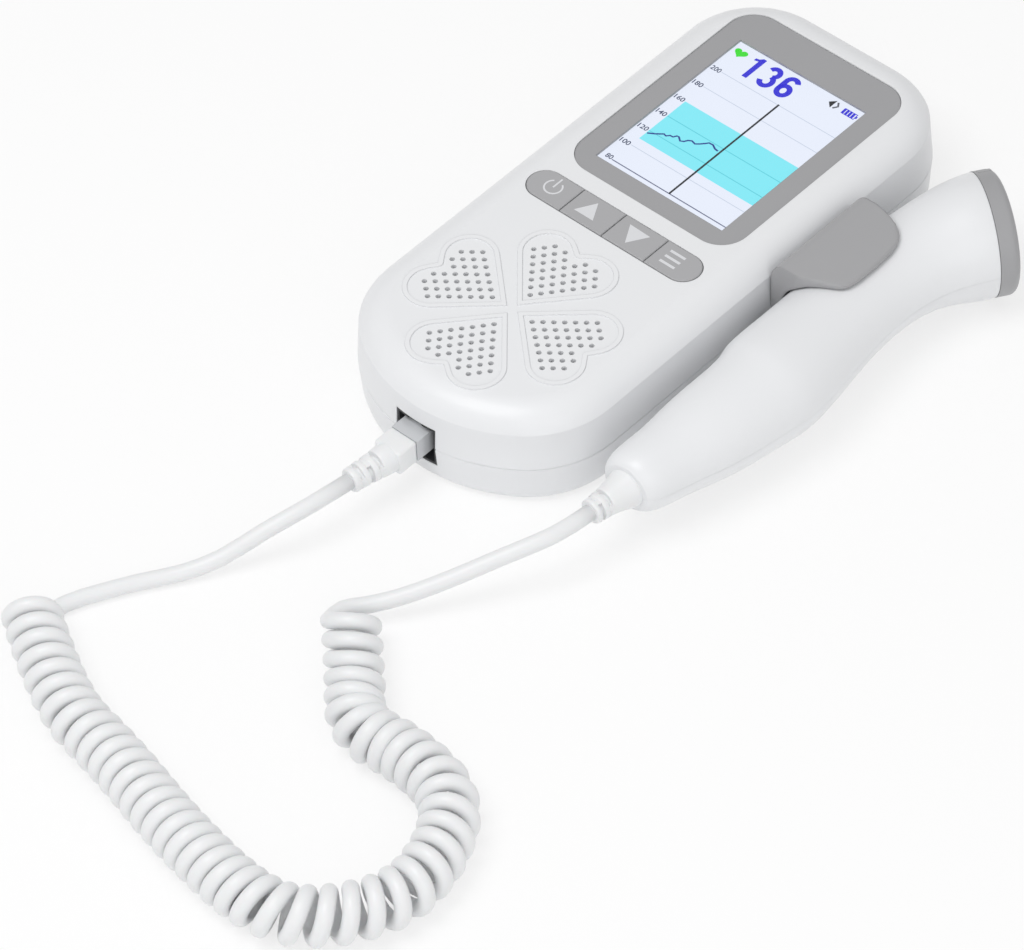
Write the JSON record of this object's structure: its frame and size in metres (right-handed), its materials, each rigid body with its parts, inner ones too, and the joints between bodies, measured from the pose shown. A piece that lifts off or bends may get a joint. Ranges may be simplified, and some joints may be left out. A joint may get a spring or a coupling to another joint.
{
  "type": "fetal doppler monitor",
  "caption": "Handheld monitor with a colour display, push keys and a clover speaker grille, its ultrasound probe held in a side clip and joined by a coiled lead.",
  "frame": {"origin": "centre of the casing's flat back face, on the surface it rests on", "axes": "+Z out of the display, +Y towards the display end, +X towards the probe"},
  "size_m": [0.1274, 0.2696, 0.0289],
  "materials": {
    "housing_white": "fine satin moulded ABS",
    "trim_grey": "satin grey moulded ABS",
    "window_clear": "clear hard-coated acrylic",
    "display": "lit colour display",
    "inner_plastic": "matt moulded frame",
    "switch_black": "matt black",
    "cell_sleeve": "printed-free dry cell sleeve",
    "spring_steel": "nickel plated",
    "screw_steel": "zinc plated",
    "speaker_cloth": "thin grey dust cloth",
    "speaker_metal": "stamped basket",
    "cone_film": "formed film",
    "magnet": "plated magnet pot",
    "board_green": "solder mask",
    "chip_black": "moulded package",
    "socket_dark": "dark moulded socket",
    "contact_gold": "gold flashed",
    "plug_clear": "translucent moulded plug",
    "cord_white": "smooth white thermoplastic elastomer",
    "probe_face": "smooth acoustic face",
    "ceramic": "fired piezo ceramic",
    "backing": "cast damping compound",
    "mark": "pale printed-free inlay"
  },
  "bodies": {
    "housing": {"front_shell": "housing_white", "back_shell": "housing_white", "battery_cells": "cell_sleeve", "battery_contacts": "spring_steel", "battery_springs": "spring_steel", "display_bezel": "trim_grey", "display_window": "window_clear", "lcd_panel": "display", "lcd_frame": "inner_plastic", "tact_switches": "switch_black", "speaker_cloth": "speaker_cloth", "speaker_frame": "speaker_metal", "speaker_cone": "cone_film", "speaker_magnet": "magnet", "main_board": "board_green", "board_chips": "chip_black", "board_screws": "screw_steel", "case_screws": "screw_steel", "jack_board": "board_green", "probe_jack": "socket_dark", "jack_contacts": "contact_gold", "plug_body": "plug_clear", "plug_contacts": "contact_gold", "plug_boot": "cord_white", "probe_clip": "trim_grey", "clip_screws": "screw_steel", "lead_to_unit": "cord_white", "lead_to_probe": "cord_white", "cord_coil": "cord_white"},
    "probe": {"probe_upper_shell": "housing_white", "probe_lower_shell": "housing_white", "probe_board": "board_green", "probe_screws": "screw_steel", "probe_boot": "cord_white", "probe_cap": "trim_grey", "cap_mark": "mark", "probe_face": "probe_face", "piezo_elements": "ceramic", "transducer_backing": "backing"},
    "battery_cover": {"battery_cover": "housing_white"},
    "power_key": {"power_key": "trim_grey", "power_switch_plunger": "switch_black"},
    "up_key": {"up_key": "trim_grey", "up_switch_plunger": "switch_black"},
    "down_key": {"down_key": "trim_grey", "down_switch_plunger": "switch_black"},
    "menu_key": {"menu_key": "trim_grey", "menu_switch_plunger": "switch_black"}
  },
  "joints": [
    {"name": "power_press", "type": "slide", "parent": "housing", "child": "power_key", "axis": [0, 0, -1], "range_m": [0, 0.0005], "stiffness_N_per_m": 1000, "springref_m": -0.0005},
    {"name": "up_press", "type": "slide", "parent": "housing", "child": "up_key", "axis": [0, 0, -1], "range_m": [0, 0.0005], "stiffness_N_per_m": 1000, "springref_m": -0.0005},
    {"name": "down_press", "type": "slide", "parent": "housing", "child": "down_key", "axis": [0, 0, -1], "range_m": [0, 0.0005], "stiffness_N_per_m": 1000, "springref_m": -0.0005},
    {"name": "menu_press", "type": "slide", "parent": "housing", "child": "menu_key", "axis": [0, 0, -1], "range_m": [0, 0.0005], "stiffness_N_per_m": 1000, "springref_m": -0.0005},
    {"name": "probe_unclip", "type": "slide", "parent": "housing", "child": "probe", "axis": [1, 0, 0], "range_m": [0, 0.045]},
    {"name": "battery_cover_swing", "type": "hinge", "parent": "housing", "child": "battery_cover", "pos_m": [0, 0.01135, 0], "axis": [1, 0, 0], "range_deg": [0, 75]}
  ]
}
